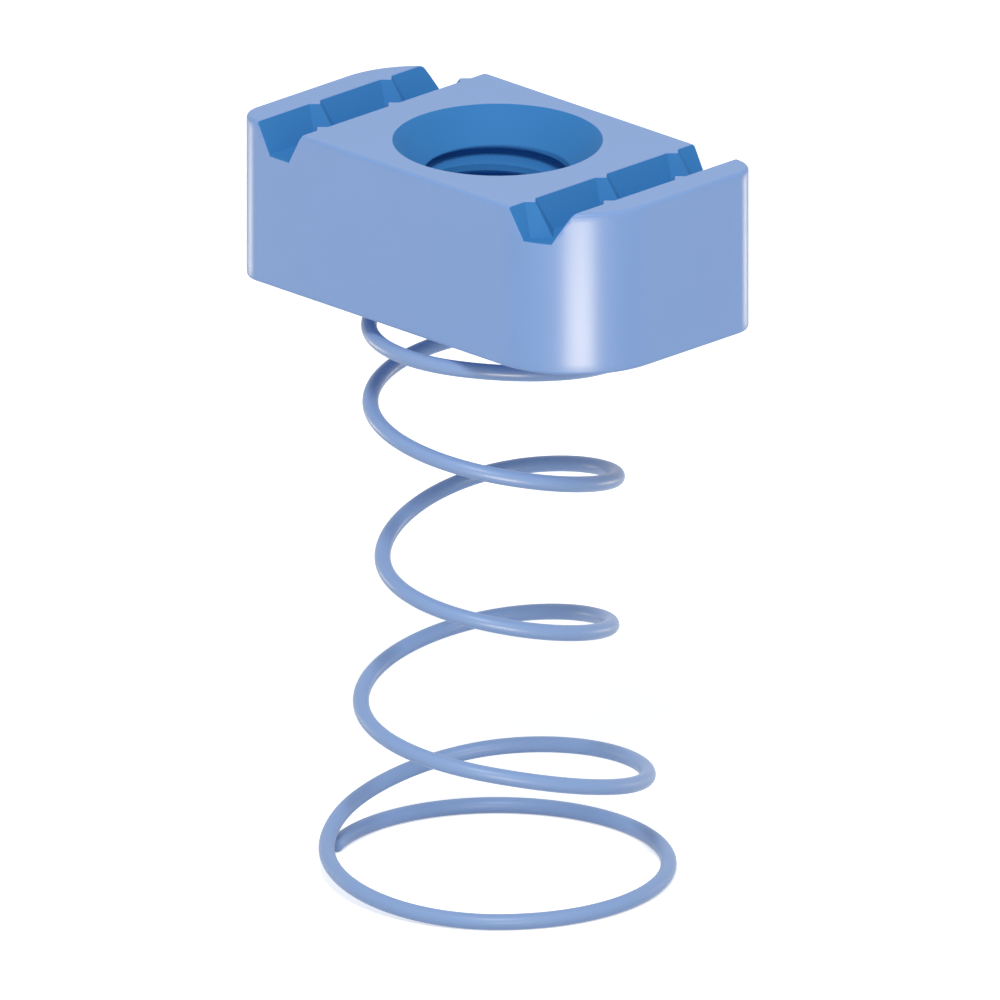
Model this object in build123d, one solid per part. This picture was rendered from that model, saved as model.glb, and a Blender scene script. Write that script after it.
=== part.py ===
from build123d import *

import os
from bisect import bisect_right
from math import asin, cos, degrees, radians, sin

# A nut for slotted strut channel, held up in the channel by a flared coil spring.
# Millimetres. +X runs along the nut, +Z up the threaded hole, and the origin is the
# centre of the footprint on the surface that the spring's foot ring stands on.

# Nut block
nut_length = 35.5
nut_width = 19.4
nut_thickness = 12.7
turning_corner_radius = 7.75  # the two corners that let the nut turn inside the channel
stopping_corner_radius = 2.1  # the two corners that stop it square across the slot
edge_break = 0.3

# Grooves that take the channel's inturned lips
end_ridge_width = 2.37
groove_top_width = 4.56
groove_floor_width = 2.0
groove_depth = 2.4

# Teeth on the groove walls: inner rows of three, outer rows of two set between them
tooth_side_margin = 2.25  # from the nut's side to the crest of the last inner tooth
tooth_reach_top = 0.55
tooth_reach_floor = 1.2
tooth_root = 1.0  # how far a tooth's body is carried back into the wall
cutter_overshoot = 0.5  # how far the groove cutters stand above the block

# Threaded hole, coarse inch thread of 12.7 mm major diameter, bored to that diameter
thread_major_diameter = 12.7
countersink_diameter = 15.56
underside_chamfer = 0.6

# Spring wire
wire_diameter = 1.2
spring_free_height = 44.8  # from the surface to the nut's underside
top_coil_radius = 9.5
foot_ring_radius = 12.64
seat_clearance = 0.03  # between the top coil and the nut's underside
crossing_gap = 0.05  # between the foot ring's end and the wire that comes down over it
flats_per_turn = 20  # the wire is swept as short mitred runs
top_end_flats = -13  # where the wire ends, counted in runs from turn 0
foot_end_flats = 99
start_angle = 225.0  # plan angle of the coil at turn 0

# Lugs swaged over the top coil
end_lug_angles = (15.0, 175.0)  # clear of the second coil, which passes close under 0
side_lug_angle = 50.0  # or less, where the block is too narrow to carry the pair there
side_lug_margin = 0.1  # between that pair and the rounded rim of the block's side
lug_span = 14.0
lug_wall = 0.9
lug_lip = 0.6
lug_cover = 0.2  # how far the lip passes the middle of the wire
lug_clearance = 0.04
lug_root = 0.6  # how far the lug is sunk into the block

# Radius of the coil at stations down it: a flat seat, a waist, then a flare to the foot
radius_stations = [
    (-1.0, top_coil_radius),
    (0.5, top_coil_radius),
    (0.75, 9.5),
    (1.0, 9.4),
    (1.25, 8.88),
    (1.5, 8.82),
    (1.75, 8.65),
    (2.0, 8.5),
    (2.25, 8.1),
    (2.5, 8.4),
    (2.75, 9.35),
    (3.0, 10.1),
    (3.25, 10.25),
    (3.5, 11.08),
    (3.75, 12.13),
    (4.0, foot_ring_radius),
    (5.0, foot_ring_radius),
]

underside = spring_free_height
top = underside + nut_thickness
wire_radius = wire_diameter / 2
seat_height = underside - seat_clearance - wire_radius
crossing_height = 1.5 * wire_diameter + crossing_gap
lug_outer = top_coil_radius + wire_radius + lug_clearance + lug_wall
lug_reach = nut_width / 2 - edge_break - side_lug_margin
side_lug_limit = degrees(asin(min(1, lug_reach / lug_outer))) - lug_span / 2
side_lug = min(side_lug_angle, side_lug_limit)
groove_outer = nut_length / 2 - end_ridge_width
groove_inner = groove_outer - groove_top_width
groove_inset = (groove_top_width - groove_floor_width) / 2
tooth_pitch = nut_width / 2 - tooth_side_margin

# Height of the wire's centre: shares of the way up from the foot ring to the seat
height_shares = [
    (-1.0, 1.0),
    (-0.1, 1.0),
    (0.0, 0.971),
    (0.2, 0.968),
    (0.5, 0.926),
    (0.75, 0.882),
    (1.0, 0.832),
    (1.25, 0.773),
    (1.5, 0.699),
    (1.75, 0.637),
    (2.0, 0.552),
    (2.25, 0.497),
    (2.5, 0.43),
    (2.75, 0.368),
    (3.0, 0.296),
    (3.25, 0.243),
    (3.5, 0.158),
    (3.75, 0.109),
    (3.91, 0.057),
]


def share_height(share):
    return wire_radius + share * (seat_height - wire_radius)


height_stations = [(turn, share_height(share)) for turn, share in height_shares] + [
    (4.0, crossing_height),
    (4.25, wire_radius),
    (5.0, wire_radius),
]


def steepness(stations, index):
    """Slope at a station: the harmonic mean of its neighbours', or none at a level or a turn."""
    if index in (0, len(stations) - 1):
        return 0.0
    (x0, y0), (x1, y1), (x2, y2) = stations[index - 1 : index + 2]
    before = (y1 - y0) / (x1 - x0)
    after = (y2 - y1) / (x2 - x1)
    return 2 * before * after / (before + after) if before * after > 0 else 0.0


def smooth(stations, turn):
    """Cubic curve through the stations that never passes beyond them."""
    index = min(bisect_right([x for x, _ in stations], turn), len(stations) - 1) - 1
    (x0, y0), (x1, y1) = stations[index : index + 2]
    span = x1 - x0
    s = (turn - x0) / span
    bend = span * (steepness(stations, index) * s * (1 - s) ** 2
                   - steepness(stations, index + 1) * s**2 * (1 - s))
    return y0 + (y1 - y0) * s**2 * (3 - 2 * s) + bend


def coil_point(turn):
    angle = radians(start_angle + 360 * turn)
    radius = smooth(radius_stations, turn)
    return (radius * cos(angle), radius * sin(angle), smooth(height_stations, turn))


def make_blank():
    """Block with two opposite corners well rounded and its outer edges broken."""
    outline = Rectangle(nut_length, nut_width)
    corners = outline.vertices()
    turning = [v for v in corners if v.X * v.Y < 0]
    stopping = [v for v in corners if v.X * v.Y > 0]
    outline = fillet(turning, turning_corner_radius)
    stopping = [outline.vertices().sort_by_distance(v)[0] for v in stopping]
    outline = fillet(stopping, stopping_corner_radius)
    blank = Pos(0, 0, underside) * extrude(outline, nut_thickness)
    faces = blank.faces().sort_by(Axis.Z)
    return chamfer(faces[0].edges() + faces[-1].edges(), edge_break)


def make_tooth(wall, lean, y):
    """V-shaped tooth on a groove wall: both its reach and its foot grow towards the floor."""
    sections = []
    for level in (top + cutter_overshoot, top - groove_depth):
        depth = (top - level) / groove_depth
        foot = wall + lean * groove_inset * depth
        reach = tooth_reach_top + (tooth_reach_floor - tooth_reach_top) * depth
        corners = [
            (foot + lean * reach, y),
            (foot - lean * tooth_root, y - reach - tooth_root),
            (foot - lean * tooth_root, y + reach + tooth_root),
        ]
        sections.append(Pos(0, 0, level) * make_face(Polyline(*corners, close=True)))
    return loft(sections, ruled=True)


def make_groove_cutter():
    """Tapered bar along the groove, notched wherever a tooth stays on a wall."""
    rise = groove_inset * cutter_overshoot / groove_depth
    section = Polyline(
        (groove_inner - rise, top + cutter_overshoot),
        (groove_inner + groove_inset, top - groove_depth),
        (groove_outer - groove_inset, top - groove_depth),
        (groove_outer + rise, top + cutter_overshoot),
        close=True,
    )
    cutter = extrude(Plane.XZ * make_face(section), nut_width, both=True)
    for y in (-tooth_pitch, 0, tooth_pitch):
        cutter -= make_tooth(groove_inner, 1, y)
    for y in (-tooth_pitch / 2, tooth_pitch / 2):
        cutter -= make_tooth(groove_outer, -1, y)
    return cutter


def make_hole_cutter():
    """Bore at the thread's major diameter, opened by a 45 degree cone at each end."""
    bore_radius = thread_major_diameter / 2
    mouth_radius = countersink_diameter / 2
    foot_radius = bore_radius + underside_chamfer
    section = Polyline(
        (0, underside),
        (foot_radius, underside),
        (bore_radius, underside + underside_chamfer),
        (bore_radius, top - (mouth_radius - bore_radius)),
        (mouth_radius, top),
        (0, top),
        close=True,
    )
    return revolve(Plane.XZ * make_face(section), Axis.Z)


def make_lug(angle):
    """Hook swaged round the outside of the top coil, with its lip under the wire."""
    slot_radius = wire_radius + lug_clearance
    inner = top_coil_radius - lug_cover
    bottom = seat_height - slot_radius - lug_lip
    block_size = (lug_outer - inner, underside + lug_root - bottom)
    block = Pos(inner, bottom) * Rectangle(*block_size, align=Align.MIN)
    block = fillet(block.vertices().sort_by(Axis.Y)[:2], lug_lip / 3)
    slot = Pos(top_coil_radius, seat_height) * Circle(slot_radius)
    slot += Pos(top_coil_radius, seat_height) * Rectangle(
        2 * slot_radius, underside, align=(Align.CENTER, Align.MIN)
    )
    section = Plane.XZ * (block - slot)
    return Rot(0, 0, angle - lug_span / 2) * revolve(section, Axis.Z, lug_span)


def make_nut():
    groove = make_groove_cutter()
    nut = make_blank() - groove - Rot(0, 0, 180) * groove - make_hole_cutter()
    for angle in (*end_lug_angles, side_lug, 180 - side_lug):
        nut += make_lug(angle)
    return nut


def make_spring():
    """One round wire along the coil, from under the nut to the foot ring's tucked end."""
    corners = [coil_point(i / flats_per_turn) for i in range(top_end_flats, foot_end_flats + 1)]
    path = Polyline(*corners)
    section = Plane(path @ 0, z_dir=path % 0) * Circle(wire_radius)
    return sweep(section, path, transition=Transition.RIGHT)


os.makedirs("parts", exist_ok=True)
export_step(make_nut(), "parts/nut.step")
export_step(make_spring(), "parts/spring.step")
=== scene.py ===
"""Looks of a toothed channel nut and the flared coil spring under it.

The file is laid out as an add-on and run as a script. Lengths are metres unless a name ends in
_MM, angles are radians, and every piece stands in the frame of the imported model: +Z up the
threaded hole, +X along the nut, the origin on the surface that the spring stands on.
"""

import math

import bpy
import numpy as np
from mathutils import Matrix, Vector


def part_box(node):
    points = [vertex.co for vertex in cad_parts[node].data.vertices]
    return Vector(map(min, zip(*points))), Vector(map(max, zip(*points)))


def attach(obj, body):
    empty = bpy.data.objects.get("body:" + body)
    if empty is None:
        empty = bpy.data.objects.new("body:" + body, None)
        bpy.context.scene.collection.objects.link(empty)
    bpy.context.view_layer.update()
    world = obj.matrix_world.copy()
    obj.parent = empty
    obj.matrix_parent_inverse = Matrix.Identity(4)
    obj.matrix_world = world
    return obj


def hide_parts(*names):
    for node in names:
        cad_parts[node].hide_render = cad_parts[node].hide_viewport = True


bl_info = {
    "name": "Channel Nut Looks",
    "version": (1, 0, 0),
    "blender": (4, 5, 0),
    "location": "3D View > Sidebar > Channel Nut",
    "description": "Builds a toothed channel nut and its coil spring, plated, in a plain studio",
    "category": "Object",
}

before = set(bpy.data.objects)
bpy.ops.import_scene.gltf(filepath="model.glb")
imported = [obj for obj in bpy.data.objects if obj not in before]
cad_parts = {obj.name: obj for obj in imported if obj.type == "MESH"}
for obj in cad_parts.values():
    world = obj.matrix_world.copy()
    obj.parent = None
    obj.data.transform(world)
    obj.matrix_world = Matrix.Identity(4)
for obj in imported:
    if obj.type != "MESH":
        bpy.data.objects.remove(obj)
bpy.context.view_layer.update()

MM = 0.001
BODY = "root"
NUT_LOW, NUT_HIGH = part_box("nut")
ENLARGE = 1000.0  # shapes are cut and rounded at this many times their size, then brought back
CUT_ANGLE = math.radians(28)  # edges that turn more than this are cut edges
SMOOTH_ANGLE = math.radians(38)  # edges that turn less than this are shaded smooth
CLEAN_CUT = 0.05 * MM  # heights that differ by less than this count as level
TOOL_WELD = 0.001 * MM  # points of the hole's cutter closer together than this are one
NUT_WELD = 0.002 * MM  # the same for the cut nut
FLAT_UP = 0.9  # a face whose normal points further up or down than this counts as level
GROOVE_UP = 0.2  # a groove's faces all point further up than this

# The wire's centre line at stations down the coil: (turns, radius)
RADIUS_STATIONS_MM = (
    (-1.0, 9.5),
    (0.5, 9.5),
    (0.75, 9.5),
    (1.0, 9.4),
    (1.25, 8.88),
    (1.5, 8.82),
    (1.75, 8.65),
    (2.0, 8.5),
    (2.25, 8.1),
    (2.5, 8.4),
    (2.75, 9.35),
    (3.0, 10.1),
    (3.25, 10.25),
    (3.5, 11.08),
    (3.75, 12.13),
    (4.0, 12.64),
    (5.0, 12.64),
)
# The same for its height, in shares of the way up from the foot ring to the seat under the nut
HEIGHT_SHARES = (
    (-1.0, 1.0),
    (-0.1, 1.0),
    (0.0, 0.971),
    (0.2, 0.968),
    (0.5, 0.926),
    (0.75, 0.882),
    (1.0, 0.832),
    (1.25, 0.773),
    (1.5, 0.699),
    (1.75, 0.637),
    (2.0, 0.552),
    (2.25, 0.497),
    (2.5, 0.43),
    (2.75, 0.368),
    (3.0, 0.296),
    (3.25, 0.243),
    (3.5, 0.158),
    (3.75, 0.109),
    (3.91, 0.057),
)
LUG_ANGLES = tuple(math.radians(angle) for angle in (15, 50, 130, 175))

# Lamps and floor
LAMP_AIM = Vector((0, 0, 50 * MM))
STRIP_DISTANCE = 115 * MM
STRIP_MIDDLE = Vector((0, 0, 14 * MM))  # how far a strip's middle is over the floor
STRIP_DEPTH = 20 * MM
STRIP_SPREAD = math.radians(60)
STRIP_TINT = (1.0, 0.83, 0.57)
KEY_DISTANCE = 0.6
KEY_ELEVATION = math.radians(53)
KEY_SIDE = 0.12
KEY_SPREAD = math.radians(180)
KEY_TINT = (1.0, 0.985, 0.95)
SKY_TINT = (0.9, 0.95, 1.0)
WHITE = (1.0, 1.0, 1.0, 1.0)
FLOOR_HALF = 2.0


# ---------------------------------------------------------------- settings


def metres(name, description, default):
    """Property for one size."""
    return bpy.props.FloatProperty(
        name=name, description=description, default=default,
        unit="LENGTH", subtype="DISTANCE", precision=5,
    )


def turned(name, description, degrees):
    """Property for one angle."""
    return bpy.props.FloatProperty(
        name=name, description=description, default=math.radians(degrees),
        unit="ROTATION", subtype="ANGLE",
    )


def colour(name, description, default):
    """Property for one linear colour."""
    return bpy.props.FloatVectorProperty(
        name=name, description=description, default=default,
        subtype="COLOR", size=3, min=0.0, max=1.0,
    )


def number(name, description, default):
    """Property for one plain number."""
    return bpy.props.FloatProperty(name=name, description=description, default=default)


def settings_of(group, name, description):
    """Property for one group of settings."""
    return bpy.props.PointerProperty(type=group, name=name, description=description)


class NutSizes(bpy.types.PropertyGroup):
    """Sizes of the threaded block."""

    length: metres("Length", "End to end along X", NUT_HIGH.x - NUT_LOW.x)
    width: metres("Width", "Side to side along Y", NUT_HIGH.y - NUT_LOW.y)
    thickness: metres("Thickness", "Height of the block", 12.7 * MM)
    turning_corner: metres("Turning corner", "Radius of the two large corners", 7.75 * MM)
    stopping_corner: metres("Stopping corner", "Radius of the two small corners", 2.1 * MM)
    rim_round: metres("Rim round", "Radius along the block's outer edges", 0.3 * MM)
    cut_round: metres("Cut round", "Width of the small round along cut edges", 0.06 * MM)
    end_ridge: metres("End ridge", "Width of the ridge outside each groove", 2.37 * MM)
    groove_mouth: metres("Groove mouth", "Width of a groove at the top", 4.56 * MM)
    groove_floor: metres("Groove floor", "Width of a groove at its floor", 2.0 * MM)
    groove_depth: metres("Groove depth", "Depth of a groove", 2.4 * MM)
    tooth_margin: metres("Tooth margin", "From the block's side to the outermost tooth", 2.25 * MM)
    tooth_top: metres("Tooth reach at the top", "How far a tooth stands out at the mouth", 0.55 * MM)
    tooth_foot: metres("Tooth reach at the floor", "How far a tooth stands out at the floor", 1.2 * MM)
    root_radius: metres("Thread root radius", "Radius of the hole at the thread's root", 6.35 * MM)
    crest_radius: metres("Thread crest radius", "Radius of the hole at the thread's crest", 5.41 * MM)
    pitch: metres("Thread pitch", "Rise of the thread in one turn", 1.954 * MM)
    run_in: metres("Thread run-in", "Depth over which the thread grows at its top", 0.5 * MM)
    thread_start: turned("Thread start", "Turns the thread about the hole", 88)
    mouth_radius: metres("Mouth radius", "Radius of the countersink at the top", 7.78 * MM)
    foot_chamfer: metres("Foot chamfer", "Chamfer of the hole at the underside", 0.6 * MM)
    lug_wall: metres("Lug wall", "Thickness of a lug beside the wire", 0.9 * MM)
    lug_lip: metres("Lug lip", "Thickness of a lug under the wire", 0.6 * MM)
    lug_cover: metres("Lug cover", "How far a lip passes the middle of the wire", 0.2 * MM)
    lug_gap: metres("Lug gap", "Clearance between a lug and the wire", 0.04 * MM)
    lug_root: metres("Lug root", "How far a lug is sunk into the block", 0.6 * MM)
    lug_span: turned("Lug span", "Angle that a lug covers", 14)


class SpringSizes(bpy.types.PropertyGroup):
    """Sizes of the coil spring."""

    wire_radius: metres("Wire radius", "Radius of the round wire", 0.6 * MM)
    seat_gap: metres("Seat gap", "Between the top coil and the nut", 0.03 * MM)
    crossing_gap: metres("Crossing gap", "Between the foot ring's end and the wire over it", 0.05 * MM)
    end_round: metres("End round", "Radius on the cut ends of the wire", 0.15 * MM)
    first_turn: number("First turn", "Where the wire starts, in turns down the coil", -0.65)
    last_turn: number("Last turn", "Where the wire ends, in turns down the coil", 4.95)
    start_angle: turned("Start angle", "Plan angle of the coil at turn 0", 225)


class Finishes(bpy.types.PropertyGroup):
    """Colours of the plating, of the painted shade in the grooves and the hole, and of the floor."""

    body: colour("Body", "Plating on the outer faces", (0.21, 0.345, 0.65))
    # Painted shade: the recess colour is a darker copy of the plating blue, put on the grooves and the
    # hole to stand in for their shade.
    recess_shade: colour("Recess", "Plating in the grooves and the hole", (0.045, 0.21, 0.505))
    wire: colour("Wire", "Plating on the spring", (0.245, 0.365, 0.625))
    floor: colour("Floor", "Floor under the part", (0.85, 0.85, 0.85))


class Studio(bpy.types.PropertyGroup):
    """Camera and lights."""

    azimuth: turned("Azimuth", "Camera's turn about the part", 45)
    elevation: turned("Elevation", "Camera's height above the horizon", 20)
    distance: metres("Distance", "From the camera to the part", 0.5)
    view_width: metres("View width", "Width that the parallel camera takes in", 73.86 * MM)
    aim_height: metres("Aim height", "Height of the middle of the view", 29.17 * MM)
    aim_side: metres("Aim side", "How far right of the hole the middle of the view is", 0.177 * MM)
    sky: number("Sky", "Strength of the light from all round", 0.56)
    floor_glow: number("Floor glow", "Light that the floor adds where it is seen", 0.58)
    key: number("Key lamp", "Power of the high lamp over the camera, in watts", 1.78)
    front: number("Front strip", "Power of the low strip in front, in watts", 0.028)
    front_turn: turned("Front strip turn", "Turn of the front strip from the camera", 7)
    front_width: metres("Front strip width", "Width of the front strip", 62 * MM)
    side: number("Side strips", "Power of each low strip beside, in watts", 0.005)
    side_turn: turned("Side strip turn", "Turn of each side strip from the camera", 116)
    side_width: metres("Side strip width", "Width of each side strip", 50 * MM)


class Settings(bpy.types.PropertyGroup):
    """Everything a user may change."""

    nut: settings_of(NutSizes, "Nut", "Sizes of the nut")
    spring: settings_of(SpringSizes, "Spring", "Sizes of the spring")
    finish: settings_of(Finishes, "Finish", "Colours")
    studio: settings_of(Studio, "Studio", "Camera and lights")


# ---------------------------------------------------------------- mesh tools


def closed_faces(rows, columns):
    """Quads of a grid that closes round its columns, with a flat face over each end row."""
    row, column = np.meshgrid(np.arange(rows - 1), np.arange(columns), indexing="ij")
    near = row * columns + column
    far = row * columns + (column + 1) % columns
    quads = np.stack([near, far, far + columns, near + columns], axis=-1).reshape(-1, 4)
    last = (rows - 1) * columns
    return [*quads.tolist(), list(range(columns))[::-1], list(range(last, last + columns))]


def new_piece(name, points, faces):
    """Enlarged mesh object of the points and faces, with every face turned outwards."""
    mesh = bpy.data.meshes.new(name)
    mesh.from_pydata((np.reshape(points, (-1, 3)) * ENLARGE).tolist(), [], faces)
    mesh.validate()
    piece = bpy.data.objects.new(name, mesh)
    bpy.context.scene.collection.objects.link(piece)
    if signed_volume(mesh) < 0:
        mesh.flip_normals()
    return piece


def signed_volume(mesh):
    """Volume under the faces: each triangle adds a sixth of the box product of its corners."""
    mesh.calc_loop_triangles()
    corners = np.empty(3 * len(mesh.loop_triangles), np.int32)
    mesh.loop_triangles.foreach_get("vertices", corners)
    a, b, c = vertex_places(mesh)[corners.reshape(-1, 3)].transpose(1, 0, 2)
    return (np.cross(a, b) * c).sum() / 6


def vertex_places(mesh):
    """Places of a mesh's vertices."""
    places = np.empty(3 * len(mesh.vertices))
    mesh.vertices.foreach_get("co", places)
    return places.reshape(-1, 3)


def face_values(mesh, name):
    """A vector of every face of a mesh: its center or its normal."""
    values = np.empty(3 * len(mesh.polygons))
    mesh.polygons.foreach_get(name, values)
    return values.reshape(-1, 3)


def settle(piece):
    """Turns a piece and its modifiers into one plain mesh."""
    depsgraph = bpy.context.evaluated_depsgraph_get()
    mesh = bpy.data.meshes.new_from_object(piece.evaluated_get(depsgraph), depsgraph=depsgraph)
    piece.modifiers.clear()
    piece.data = mesh


def weld(piece, distance):
    """Merges points closer together than the distance."""
    modifier = piece.modifiers.new("Weld", "WELD")
    modifier.merge_threshold = distance * ENLARGE
    settle(piece)


def combine(piece, tool, operation):
    """Cuts the tool's solid out of the piece, or joins it on, and drops the tool."""
    modifier = piece.modifiers.new(tool.name, "BOOLEAN")
    modifier.operation = operation
    modifier.solver = "EXACT"
    modifier.object = tool
    settle(piece)
    bpy.data.objects.remove(tool)


def edge_face_pairs(piece):
    """The two faces on each edge; a mesh that isn't closed stops the build."""
    mesh = piece.data
    edge = np.empty(len(mesh.loops), np.int32)
    mesh.loops.foreach_get("edge_index", edge)
    if (np.bincount(edge, minlength=len(mesh.edges)) != 2).any():
        raise RuntimeError(f"{piece.name} isn't closed")
    corners = np.empty(len(mesh.polygons), np.int32)
    mesh.polygons.foreach_get("loop_total", corners)
    face = np.repeat(np.arange(len(corners)), corners)
    return face[np.argsort(edge, kind="stable")].reshape(-1, 2)


def hand_over(piece, node):
    """Brings a finished piece back to real size, smooths it and puts it in the node's place."""
    piece.data.transform(Matrix.Scale(1 / ENLARGE, 4))
    piece.data.shade_smooth()
    piece.data.set_sharp_from_angle(angle=SMOOTH_ANGLE)
    flatten = piece.modifiers.new("Flats", "WEIGHTED_NORMAL")
    flatten.keep_sharp = True
    settle(piece)
    edge_face_pairs(piece)
    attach(piece, BODY)
    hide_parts(node)


def stations_curve(stations, turns):
    """Cubic curve through the stations that never passes beyond them.

    Each slope is the harmonic mean of the slopes on both sides, or level where those differ in
    sign. Between two stations the value is a Hermite cubic of the share s of the way.
    """
    x, y = np.array(stations).T
    rise = np.diff(y) / np.diff(x)
    before, after = rise[:-1], rise[1:]
    both = before * after > 0
    mean = np.where(both, 2 * before * after / np.where(both, before + after, 1.0), 0.0)
    slope = np.concatenate([[0.0], mean, [0.0]])
    k = np.clip(np.searchsorted(x, turns, side="right") - 1, 0, len(x) - 2)
    span = x[k + 1] - x[k]
    s = (turns - x[k]) / span
    bend = span * (slope[k] * s * (1 - s) ** 2 - slope[k + 1] * s**2 * (1 - s))
    return y[k] + (y[k + 1] - y[k]) * s**2 * (3 - 2 * s) + bend


# ---------------------------------------------------------------- nut


def block_piece(sizes):
    """The plain block.

    A point belongs to a corner, an arc angle and a level: the corner's centre plus the radius
    less an inset along the arc angle. Inset and height follow a quarter circle at the
    underside and another at the top. The plain rings between them keep the shading round
    each cut close to it, and they pass clear of the grooves' floors.
    """
    arc_steps, rim_steps = 24, 5
    lower_rings, upper_rings = 15, 4
    signs = np.array([[1, 1], [-1, 1], [-1, -1], [1, -1]])
    radii = np.where(signs.prod(axis=1) < 0, sizes.turning_corner, sizes.stopping_corner)
    centres = signs * (np.array([sizes.length, sizes.width]) / 2 - radii[:, None])
    arc = np.arange(4)[:, None] * math.pi / 2 + np.linspace(0, math.pi / 2, arc_steps)
    rim = np.linspace(0, math.pi / 2, rim_steps)
    foot = NUT_HIGH.z - sizes.thickness
    floor, clear = NUT_HIGH.z - sizes.groove_depth, sizes.rim_round
    lower = np.linspace(foot + sizes.rim_round, floor - clear, lower_rings + 1)[1:]
    upper = np.linspace(floor + clear, NUT_HIGH.z - sizes.rim_round, upper_rings + 1)[:-1]
    plain = np.concatenate([lower, upper])
    inset = sizes.rim_round * np.concatenate([1 - np.sin(rim), 0 * plain, 1 - np.cos(rim)])
    low = foot + sizes.rim_round * (1 - np.cos(rim))
    high = NUT_HIGH.z - sizes.rim_round * (1 - np.sin(rim))
    level = np.concatenate([low, plain, high])
    reach = radii[:, None] - inset[:, None, None]
    x = centres[:, 0, None] + reach * np.cos(arc)
    y = centres[:, 1, None] + reach * np.sin(arc)
    z = level[:, None, None] + np.zeros_like(x)
    points = np.stack([x, y, z], axis=-1)
    return new_piece("nut_body", points, closed_faces(len(level), 4 * arc_steps))


def toothed_wall(wall, lean, teeth, reach, end):
    """Plan line of a groove wall: straight at x = wall, with a 45 degree V at each tooth's y."""
    way = np.sign(teeth[-1] - teeth[0])
    y = teeth[:, None] + way * reach * np.array([-1, 0, 1])
    x = wall + lean * reach * np.array([0, 1, 0]) + np.zeros_like(y)
    line = np.stack([x, y], axis=-1).reshape(-1, 2)
    return np.vstack([[wall, -way * end], line, [wall, way * end]])


def groove_tool(sizes, side):
    """Solid that cuts one groove: a ruled body between two toothed outlines.

    One outline is over the top and one at the floor. With the depth, the walls close in and the
    teeth grow, both evenly. A level is a share of the depth, and the other side is a half turn.
    """
    outer = sizes.length / 2 - sizes.end_ridge
    inner = outer - sizes.groove_mouth
    inset = (sizes.groove_mouth - sizes.groove_floor) / 2
    pitch = sizes.width / 2 - sizes.tooth_margin
    floor, over = 1.0, -0.2
    rings = []
    for level in (over, floor):
        reach = sizes.tooth_top + (sizes.tooth_foot - sizes.tooth_top) * level
        inner_teeth = pitch * np.array([-1.0, 0.0, 1.0])
        outer_teeth = pitch * np.array([0.5, -0.5])
        outline = np.vstack([
            toothed_wall(inner + inset * level, 1, inner_teeth, reach, sizes.width),
            toothed_wall(outer - inset * level, -1, outer_teeth, reach, sizes.width),
        ])
        height = np.full((len(outline), 1), NUT_HIGH.z - sizes.groove_depth * level)
        rings.append(np.hstack([side * outline, height]))
    return new_piece("groove", np.stack(rings), closed_faces(2, len(rings[0])))


def thread_depth(sizes, phase):
    """Depth of the thread at a share of a pitch: a flat crest, 30 degree flanks, a flat root."""
    crest_flat = sizes.pitch / 8
    from_crest = sizes.pitch * np.abs(phase - 0.5)
    climb = (from_crest - crest_flat) / math.tan(math.radians(30))
    return np.clip(climb, 0, sizes.root_radius - sizes.crest_radius)


def hole_tool(sizes):
    """Solid that cuts the threaded hole, with a 45 degree cone at each end.

    A point belongs to a row and an angle. Its height climbs with the angle as the thread does,
    and its radius is the largest of the thread's, the countersink's and the foot chamfer's
    there. One turn on, a row meets the row a pitch above. The rows wait at a level ring a
    little under the top and go on in one plain band, so the mouth's edge is cut cleanly.
    """
    columns, per_pitch = 128, 24
    spare = 2  # turns of rows that wait at each end
    clear = 0.2  # share of the run-in that stays plain under the countersink
    overshoot = 0.5 * MM
    foot = NUT_HIGH.z - sizes.thickness
    low, high = foot - overshoot, NUT_HIGH.z + overshoot
    rows = (math.ceil((high - low) / sizes.pitch) + 2 * spare) * per_pitch
    turn = np.arange(columns) / columns
    share = np.arange(rows)[:, None] / per_pitch
    start = sizes.thread_start / (2 * math.pi)
    climb = low + sizes.pitch * (share - spare + turn - start)
    height = np.where(climb > high, high, np.clip(climb, low, NUT_HIGH.z - overshoot))
    cone = sizes.mouth_radius - sizes.crest_radius
    grown = np.clip((NUT_HIGH.z - height - cone) / sizes.run_in - clear, 0, 1)
    radius = sizes.crest_radius + grown * thread_depth(sizes, share % 1)
    radius = np.maximum(radius, sizes.mouth_radius + (height - NUT_HIGH.z))
    radius = np.maximum(radius, sizes.root_radius + sizes.foot_chamfer + (foot - height))
    angle = 2 * math.pi * turn
    points = np.stack([radius * np.cos(angle), radius * np.sin(angle), height], axis=-1)
    row, column = np.meshgrid(np.arange(rows - 1), np.arange(columns), indexing="ij")
    near = row * columns + column
    far = np.where(column == columns - 1, (row + per_pitch) * columns, near + 1)
    quads = np.stack([near, far, far + columns, near + columns], axis=-1)
    quads = quads[far + columns < rows * columns].tolist()
    last = (rows - 1) * columns
    caps = [list(range(columns))[::-1], list(range(last, last + columns))]
    tool = new_piece("hole", points, quads + caps)
    weld(tool, TOOL_WELD)
    return tool


def seat_height(nut, spring):
    """Height of the wire's centre where the top coil lies against the nut."""
    return NUT_HIGH.z - nut.thickness - spring.seat_gap - spring.wire_radius


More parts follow.
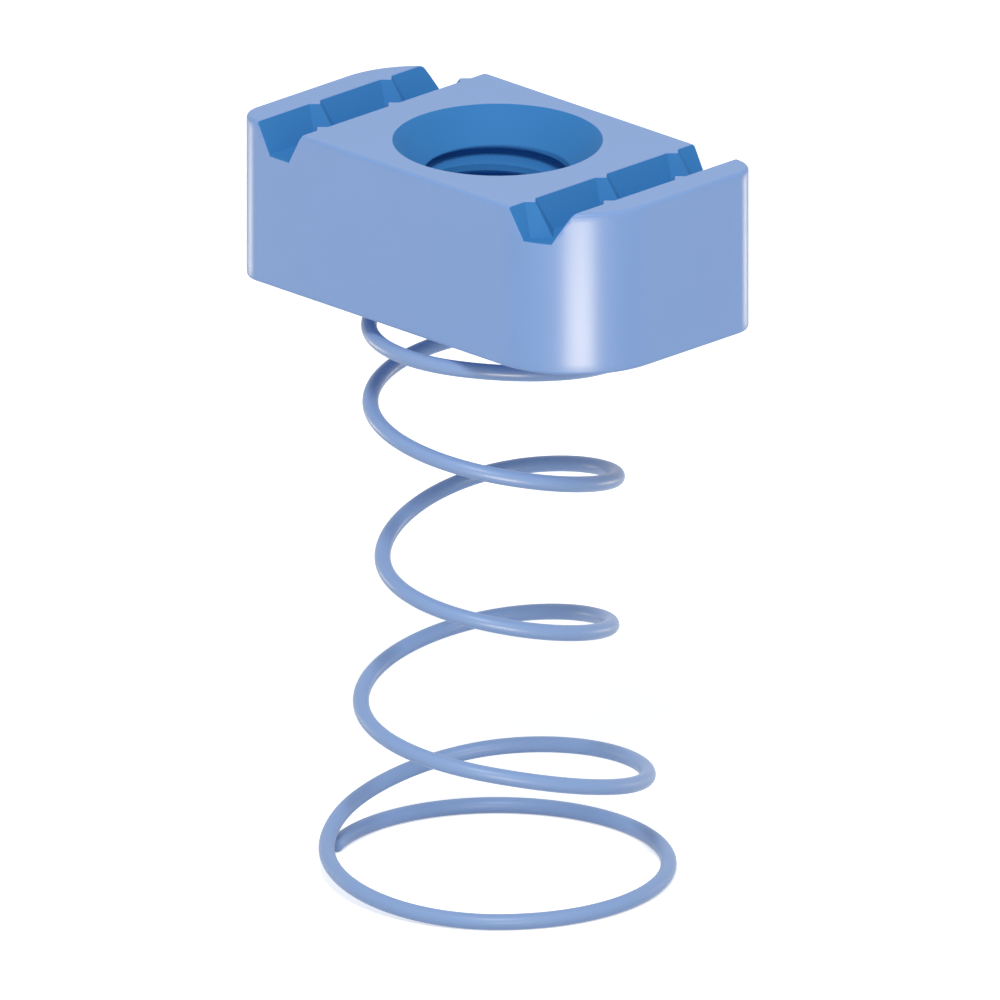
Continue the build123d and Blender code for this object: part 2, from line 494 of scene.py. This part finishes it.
def lug_tool(nut, spring, angle):
    """One lug: a hooked section round the wire, carried about Z through the lug's span."""
    seat = seat_height(nut, spring)
    coil = RADIUS_STATIONS_MM[0][1] * MM
    slot = spring.wire_radius + nut.lug_gap
    outer = coil + slot + nut.lug_wall
    inner = coil - nut.lug_cover
    bottom = seat - slot - nut.lug_lip
    root = NUT_HIGH.z - nut.thickness + nut.lug_root
    soft = nut.lug_lip / 3
    corner_points, hook_points, span_points = 5, 12, 9
    bend = np.linspace(0, math.pi / 2, corner_points)
    hook = np.linspace(-math.acos(-nut.lug_cover / slot), 0, hook_points)
    section = np.vstack([
        [[outer, root]],
        np.stack([outer - soft * (1 - np.cos(bend)), bottom + soft * (1 - np.sin(bend))], axis=-1),
        np.stack([inner + soft * (1 - np.sin(bend)), bottom + soft * (1 - np.cos(bend))], axis=-1),
        np.stack([coil + slot * np.cos(hook), seat + slot * np.sin(hook)], axis=-1),
        [[coil + slot, root]],
    ])
    turn = (angle + np.linspace(-0.5, 0.5, span_points) * nut.lug_span)[:, None]
    x, z = section[:, 0], section[:, 1]
    points = np.stack([x * np.cos(turn), x * np.sin(turn), z + 0 * turn], axis=-1)
    return new_piece("lug", points, closed_faces(len(turn), len(section)))


def round_cut_edges(piece, sizes):
    """Small rounds along every sharp edge outside the threaded hole."""
    mesh = piece.data
    pairs = edge_face_pairs(piece)
    normal = face_values(mesh, "normal")
    turned_by = (normal[pairs[:, 0]] * normal[pairs[:, 1]]).sum(axis=1)
    ends = np.empty(2 * len(mesh.edges), np.int32)
    mesh.edges.foreach_get("vertices", ends)
    middle = vertex_places(mesh)[ends.reshape(-1, 2)].mean(axis=1)
    hole = (sizes.mouth_radius - sizes.rim_round) * ENLARGE
    outside = np.hypot(middle[:, 0], middle[:, 1]) > hole
    chosen = (turned_by < math.cos(CUT_ANGLE)) & outside
    weight = mesh.attributes.new("bevel_weight_edge", "FLOAT", "EDGE")
    weight.data.foreach_set("value", chosen.astype(np.float32))
    modifier = piece.modifiers.new("Rounds", "BEVEL")
    modifier.limit_method = "WEIGHT"
    modifier.width = sizes.cut_round * ENLARGE
    modifier.segments = 2
    modifier.use_clamp_overlap = False
    modifier.miter_outer = "MITER_ARC"
    settle(piece)


def paint_recesses(piece, sizes):
    """Gives the second material, a darker copy of the plating that paints the shade of the recesses,
    to the faces of the hole and of the grooves.
    """
    mesh = piece.data
    centre = face_values(mesh, "center") / ENLARGE
    upward = face_values(mesh, "normal")[:, 2]
    depth = NUT_HIGH.z - centre[:, 2]
    across = np.abs(centre[:, 0])
    outer = sizes.length / 2 - sizes.end_ridge
    in_hole = np.hypot(centre[:, 0], centre[:, 1]) < sizes.mouth_radius
    in_hole &= np.abs(upward) < FLAT_UP
    in_groove = (across > outer - sizes.groove_mouth) & (across < outer)
    in_groove &= (depth > CLEAN_CUT) & (depth < sizes.groove_depth + CLEAN_CUT)
    in_groove &= upward > GROOVE_UP
    mesh.polygons.foreach_set("material_index", (in_hole | in_groove).astype(np.int32))


# ---------------------------------------------------------------- spring


def coil_line(nut, spring, turns):
    """Centre line of the wire.

    Each turn gives a point: its angle grows with the turn, and its radius and height are those
    of the stations' curves there.
    """
    foot = spring.wire_radius
    seat = seat_height(nut, spring)
    climb = [(turn, foot + share * (seat - foot)) for turn, share in HEIGHT_SHARES]
    crossing = 3 * spring.wire_radius + spring.crossing_gap
    height = stations_curve([*climb, (4.0, crossing), (4.25, foot), (5.0, foot)], turns)
    radius = MM * stations_curve(RADIUS_STATIONS_MM, turns)
    angle = spring.start_angle + 2 * math.pi * turns
    return np.stack([radius * np.cos(angle), radius * np.sin(angle), height], axis=-1)


def wire_piece(nut, spring):
    """The wire: a circle carried along the coil and square to it, with rounded ends.

    A point belongs to a ring and an angle: the centre line's point plus the wire's radius
    times the cosine along the outward direction and the sine along the direction square to it.
    Each point keeps its distance along the wire and its place on the circle for the finish.
    """
    per_turn, columns, end_rings = 120, 24, 4
    bend = np.linspace(0, math.pi / 2, end_rings + 1)[:-1]
    around = 2 * math.pi * RADIUS_STATIONS_MM[0][1] * MM
    tuck = spring.end_round * (1 - np.cos(bend)) / around
    inset = spring.end_round * (1 - np.sin(bend))
    start, stop = spring.first_turn, spring.last_turn
    plain = spring.end_round / around
    middle = np.linspace(start + plain, stop - plain, round((stop - start) * per_turn))
    turns = np.concatenate([start + tuck, middle, stop - tuck[::-1]])
    radius = spring.wire_radius - np.concatenate([inset, 0 * middle, inset[::-1]])
    line = coil_line(nut, spring, turns)
    nudge = 1e-4  # of a turn, for the line's direction
    along = coil_line(nut, spring, turns + nudge) - coil_line(nut, spring, turns - nudge)
    along /= np.linalg.norm(along, axis=1, keepdims=True)
    out = line * [1, 1, 0]
    out -= along * (out * along).sum(axis=1, keepdims=True)
    out /= np.linalg.norm(out, axis=1, keepdims=True)
    square = np.cross(along, out)
    angle = 2 * math.pi * np.arange(columns)[:, None] / columns
    around_ring = np.cos(angle) * out[:, None] + np.sin(angle) * square[:, None]
    points = line[:, None] + radius[:, None, None] * around_ring
    piece = new_piece("spring_wire", points, closed_faces(len(turns), columns))
    distance = np.concatenate([[0.0], np.cumsum(np.linalg.norm(np.diff(line, axis=0), axis=1))])
    place = np.empty((len(turns), columns, 3), np.float32)
    place[:, :, 0] = distance[:, None]
    place[:, :, 1] = spring.wire_radius * np.cos(angle[:, 0])
    place[:, :, 2] = spring.wire_radius * np.sin(angle[:, 0])
    kept = piece.data.attributes.new("wire_place", "FLOAT_VECTOR", "POINT")
    kept.data.foreach_set("vector", place.ravel())
    return piece


# ---------------------------------------------------------------- finishes


def math_node(tree, operation, *values):
    """Output of a Math node whose inputs are the given sockets or numbers."""
    node = tree.nodes.new("ShaderNodeMath")
    node.operation = operation
    for socket, value in zip(node.inputs, values):
        if isinstance(value, bpy.types.NodeSocket):
            tree.links.new(value, socket)
        else:
            socket.default_value = value
    return node.outputs[0]


GRAIN_SOCKETS = (
    ("INPUT", "NodeSocketVector", ("Vector",)),
    ("INPUT", "NodeSocketColor", ("Color",)),
    ("INPUT", "NodeSocketFloat", ("Drift Scale", "Grain Scale", "Drift")),
    ("INPUT", "NodeSocketFloat", ("Roughness", "Roughness Range")),
    ("OUTPUT", "NodeSocketColor", ("Color",)),
    ("OUTPUT", "NodeSocketFloat", ("Roughness", "Height")),
)
GRAIN_SHARE = 0.35  # of the fine grain in the tone; the broad drifts have the rest


def grain_group():
    """Node group for plating: broad drifts of tone and a fine grain.

    Both noises together brighten and darken the colour by the Drift, and raise and lower the
    roughness by the Roughness Range. Height is the fine grain alone.
    """
    group = bpy.data.node_groups.new("plating_grain", "ShaderNodeTree")
    for way, kind, names in GRAIN_SOCKETS:
        for name in names:
            group.interface.new_socket(name, in_out=way, socket_type=kind)
    given = group.nodes.new("NodeGroupInput").outputs
    result = group.nodes.new("NodeGroupOutput").inputs
    noises = []
    for scale, detail in (("Drift Scale", 2.0), ("Grain Scale", 3.0)):
        noise = group.nodes.new("ShaderNodeTexNoise")
        noise.inputs["Detail"].default_value = detail
        group.links.new(given["Vector"], noise.inputs["Vector"])
        group.links.new(given[scale], noise.inputs["Scale"])
        noises.append(noise.outputs["Fac"])
    drift, grain = noises
    broad = math_node(group, "MULTIPLY", drift, 1 - GRAIN_SHARE)
    blend = math_node(group, "MULTIPLY_ADD", grain, GRAIN_SHARE, broad)
    swing = math_node(group, "SUBTRACT", blend, 0.5)
    tone = math_node(group, "MULTIPLY_ADD", swing, given["Drift"], 1.0)
    shade = group.nodes.new("ShaderNodeVectorMath")
    shade.operation = "SCALE"
    group.links.new(given["Color"], shade.inputs[0])
    group.links.new(tone, shade.inputs["Scale"])
    group.links.new(shade.outputs[0], result["Color"])
    rough = math_node(group, "MULTIPLY_ADD", swing, given["Roughness Range"], given["Roughness"])
    group.links.new(rough, result["Roughness"])
    group.links.new(grain, result["Height"])
    return group


def plating(name, tint, values, look):
    """Material of one plated surface.

    The values go to the inputs of the grain group. The look holds what gives the coordinates,
    the shader's own values and how the grain stands out.
    """
    material = bpy.data.materials.new(name)
    material.use_nodes = True
    tree = material.node_tree
    shader = tree.nodes["Principled BSDF"]
    effect = tree.nodes.new("ShaderNodeGroup")
    effect.node_tree = bpy.data.node_groups.get("plating_grain") or grain_group()
    for socket, value in values.items():
        effect.inputs[socket].default_value = value
    effect.inputs["Color"].default_value = (*tint, 1.0)
    tree.links.new(look["coordinates"](tree), effect.inputs["Vector"])
    tree.links.new(effect.outputs["Color"], shader.inputs["Base Color"])
    tree.links.new(effect.outputs["Roughness"], shader.inputs["Roughness"])
    bump = tree.nodes.new("ShaderNodeBump")
    bump.inputs["Strength"].default_value = look["bump"]
    bump.inputs["Distance"].default_value = look["grain_height"]
    tree.links.new(effect.outputs["Height"], bump.inputs["Height"])
    tree.links.new(bump.outputs["Normal"], shader.inputs["Normal"])
    shader.inputs["Metallic"].default_value = look["metallic"]
    shader.inputs["Specular IOR Level"].default_value = look["specular"]
    shader.inputs["Coat Weight"].default_value = look["coat"]
    shader.inputs["Coat Roughness"].default_value = look["coat_roughness"]
    material.diffuse_color = (*tint, 1.0)
    return material


def object_coordinates(tree):
    """Socket with the place on the piece, in metres."""
    return tree.nodes.new("ShaderNodeTexCoord").outputs["Object"]


def wire_coordinates(tree):
    """Socket with the place on the wire, stretched so that noise runs in lines along it."""
    place = tree.nodes.new("ShaderNodeAttribute")
    place.attribute_name = "wire_place"
    stretch = tree.nodes.new("ShaderNodeMapping")
    stretch.inputs["Scale"].default_value = (0.05, 1.0, 1.0)
    tree.links.new(place.outputs["Vector"], stretch.inputs["Vector"])
    return stretch.outputs["Vector"]


GRAIN_VALUES = {
    "Drift Scale": 120.0,
    "Grain Scale": 5000.0,
    "Drift": 0.12,
    "Roughness": 0.4,
    "Roughness Range": 0.1,
}
RECESS_VALUES = {**GRAIN_VALUES, "Roughness": 0.55}
PLATED_LOOK = {
    "coordinates": object_coordinates,
    "coat": 0.1,
    "coat_roughness": 0.25,
    "metallic": 0.0,
    "specular": 0.27,
    "bump": 0.3,
    "grain_height": 0.01 * MM,
}
RECESS_LOOK = {**PLATED_LOOK, "coat": 0.0, "specular": 0.05}
WIRE_LOOK = {**PLATED_LOOK, "coordinates": wire_coordinates}


# ---------------------------------------------------------------- studio


def seen_white(tree):
    """Socket that is 1 on rays from the camera, also after a shiny or a clear surface."""
    rays = tree.nodes.new("ShaderNodeLightPath").outputs
    mirrored = math_node(tree, "MAXIMUM", rays["Is Camera Ray"], rays["Is Glossy Ray"])
    return math_node(tree, "MAXIMUM", mirrored, rays["Is Transmission Ray"])


def white_surround(strength):
    """World that lights as a faintly blue sky of the strength and looks plain white."""
    world = bpy.data.worlds.new("surround")
    world.use_nodes = True
    tree = world.node_tree
    sky_or_white = tree.nodes.new("ShaderNodeMix")
    sky_or_white.data_type = "RGBA"
    tree.links.new(seen_white(tree), sky_or_white.inputs["Factor"])
    given = {socket.identifier: socket for socket in sky_or_white.inputs}
    mixed = {socket.identifier: socket for socket in sky_or_white.outputs}
    given["A_Color"].default_value = (*(strength * part for part in SKY_TINT), 1.0)
    given["B_Color"].default_value = WHITE
    tree.links.new(mixed["Result_Color"], tree.nodes["Background"].inputs["Color"])
    bpy.context.scene.world = world


def floor_piece(tint, glow):
    """Wide floor that looks white and still takes a shadow: it adds the glow where it is seen."""
    corners = [(x * FLOOR_HALF, y * FLOOR_HALF, 0) for x, y in ((-1, -1), (1, -1), (1, 1), (-1, 1))]
    mesh = bpy.data.meshes.new("floor")
    mesh.from_pydata(corners, [], [range(len(corners))])
    material = bpy.data.materials.new("floor")
    material.use_nodes = True
    tree = material.node_tree
    shader = tree.nodes["Principled BSDF"]
    shader.inputs["Base Color"].default_value = (*tint, 1.0)
    shader.inputs["Roughness"].default_value = 1.0
    shader.inputs["Specular IOR Level"].default_value = 0.0
    shader.inputs["Emission Color"].default_value = WHITE
    strength = math_node(tree, "MULTIPLY", seen_white(tree), glow)
    tree.links.new(strength, shader.inputs["Emission Strength"])
    mesh.materials.append(material)
    floor = bpy.data.objects.new("floor", mesh)
    bpy.context.scene.collection.objects.link(floor)
    return floor


def direction(azimuth, elevation):
    """Unit vector from the part towards something seen at the azimuth and elevation."""
    level = math.cos(elevation)
    return Vector((math.sin(azimuth) * level, -math.cos(azimuth) * level, math.sin(elevation)))


def add_lamp(name, place, size, spread, power, tint):
    """Rectangular lamp that faces the block and lights only within its spread."""
    data = bpy.data.lights.new(name, "AREA")
    data.shape = "RECTANGLE"
    data.size, data.size_y = size
    data.spread = spread
    data.energy = power
    data.color = tint
    lamp = bpy.data.objects.new(name, data)
    lamp.location = place
    lamp.rotation_mode = "QUATERNION"
    lamp.rotation_quaternion = (LAMP_AIM - place).to_track_quat("-Z", "Y")
    bpy.context.scene.collection.objects.link(lamp)
    return lamp


# ---------------------------------------------------------------- operators


class CHANNELNUT_OT_nut(bpy.types.Operator):
    """Build the threaded block with its toothed grooves and its lugs"""

    bl_idname = "channel_nut.nut"
    bl_label = "Build Nut"

    def execute(self, context):
        settings = context.scene.channel_nut
        sizes = settings.nut
        nut = block_piece(sizes)
        for side in (1, -1):
            combine(nut, groove_tool(sizes, side), "DIFFERENCE")
        combine(nut, hole_tool(sizes), "DIFFERENCE")
        for angle in LUG_ANGLES:
            combine(nut, lug_tool(sizes, settings.spring, angle), "UNION")
        weld(nut, NUT_WELD)
        round_cut_edges(nut, sizes)
        finish = settings.finish
        materials = nut.data.materials
        materials.append(plating("body_plating", finish.body, GRAIN_VALUES, PLATED_LOOK))
        # The recess material is painted shade: the same plating and grain as the body with a darker
        # blue.
        materials.append(plating("recess_painted_shade", finish.recess_shade, RECESS_VALUES, RECESS_LOOK))
        paint_recesses(nut, sizes)
        hand_over(nut, "nut")
        return {"FINISHED"}


class CHANNELNUT_OT_spring(bpy.types.Operator):
    """Build the flared coil spring"""

    bl_idname = "channel_nut.spring"
    bl_label = "Build Spring"

    def execute(self, context):
        settings = context.scene.channel_nut
        wire = wire_piece(settings.nut, settings.spring)
        finish = plating("wire_plating", settings.finish.wire, GRAIN_VALUES, WIRE_LOOK)
        wire.data.materials.append(finish)
        hand_over(wire, "spring")
        return {"FINISHED"}


class CHANNELNUT_OT_stage(bpy.types.Operator):
    """Build the floor, the lights and the camera"""

    bl_idname = "channel_nut.stage"
    bl_label = "Build Stage"

    def execute(self, context):
        settings = context.scene.channel_nut
        studio = settings.studio
        white_surround(studio.sky)
        floor = floor_piece(settings.finish.floor, studio.floor_glow)
        strips = (
            ("front_strip", studio.front_turn, studio.front_width, studio.front),
            ("left_strip", -studio.side_turn, studio.side_width, studio.side),
            ("right_strip", studio.side_turn, studio.side_width, studio.side),
        )
        for name, turn, width, power in strips:
            place = direction(studio.azimuth + turn, 0) * STRIP_DISTANCE + STRIP_MIDDLE
            strip = add_lamp(name, place, (width, STRIP_DEPTH), STRIP_SPREAD, power, STRIP_TINT)
            strip.visible_diffuse = False  # a strip only draws a highlight
        place = direction(studio.azimuth, KEY_ELEVATION) * KEY_DISTANCE
        add_lamp("key_lamp", place, (KEY_SIDE, KEY_SIDE), KEY_SPREAD, studio.key, KEY_TINT)
        back = direction(studio.azimuth, studio.elevation)
        right = Vector((math.cos(studio.azimuth), math.sin(studio.azimuth), 0))
        camera = bpy.data.objects.new("camera", bpy.data.cameras.new("camera"))
        camera.data.type = "ORTHO"
        camera.data.ortho_scale = studio.view_width
        aim = right * studio.aim_side + Vector((0, 0, studio.aim_height))
        camera.location = aim + back * studio.distance
        camera.rotation_mode = "QUATERNION"
        camera.rotation_quaternion = back.to_track_quat("Z", "Y")
        context.scene.collection.objects.link(camera)
        context.scene.camera = camera
        context.scene.view_settings.view_transform = "Standard"
        return {"FINISHED"}


class CHANNELNUT_PT_panel(bpy.types.Panel):
    """Lists the build steps and the settings"""

    bl_idname = "CHANNELNUT_PT_panel"
    bl_label = "Channel Nut"
    bl_space_type = "VIEW_3D"
    bl_region_type = "UI"
    bl_category = "Channel Nut"

    def draw(self, context):
        for operator in OPERATORS:
            self.layout.operator(operator.bl_idname)
        settings = context.scene.channel_nut
        for group in (settings.nut, settings.spring, settings.finish, settings.studio):
            box = self.layout.box()
            for name in group.__annotations__:
                box.prop(group, name)


OPERATORS = (CHANNELNUT_OT_nut, CHANNELNUT_OT_spring, CHANNELNUT_OT_stage)
CLASSES = (NutSizes, SpringSizes, Finishes, Studio, Settings, *OPERATORS, CHANNELNUT_PT_panel)


def register():
    for cls in CLASSES:
        bpy.utils.register_class(cls)
    bpy.types.Scene.channel_nut = bpy.props.PointerProperty(type=Settings)


def unregister():
    del bpy.types.Scene.channel_nut
    for cls in reversed(CLASSES):
        bpy.utils.unregister_class(cls)


def main():
    register()
    bpy.ops.channel_nut.nut()
    bpy.ops.channel_nut.spring()
    bpy.ops.channel_nut.stage()


if __name__ == "__main__":
    main()
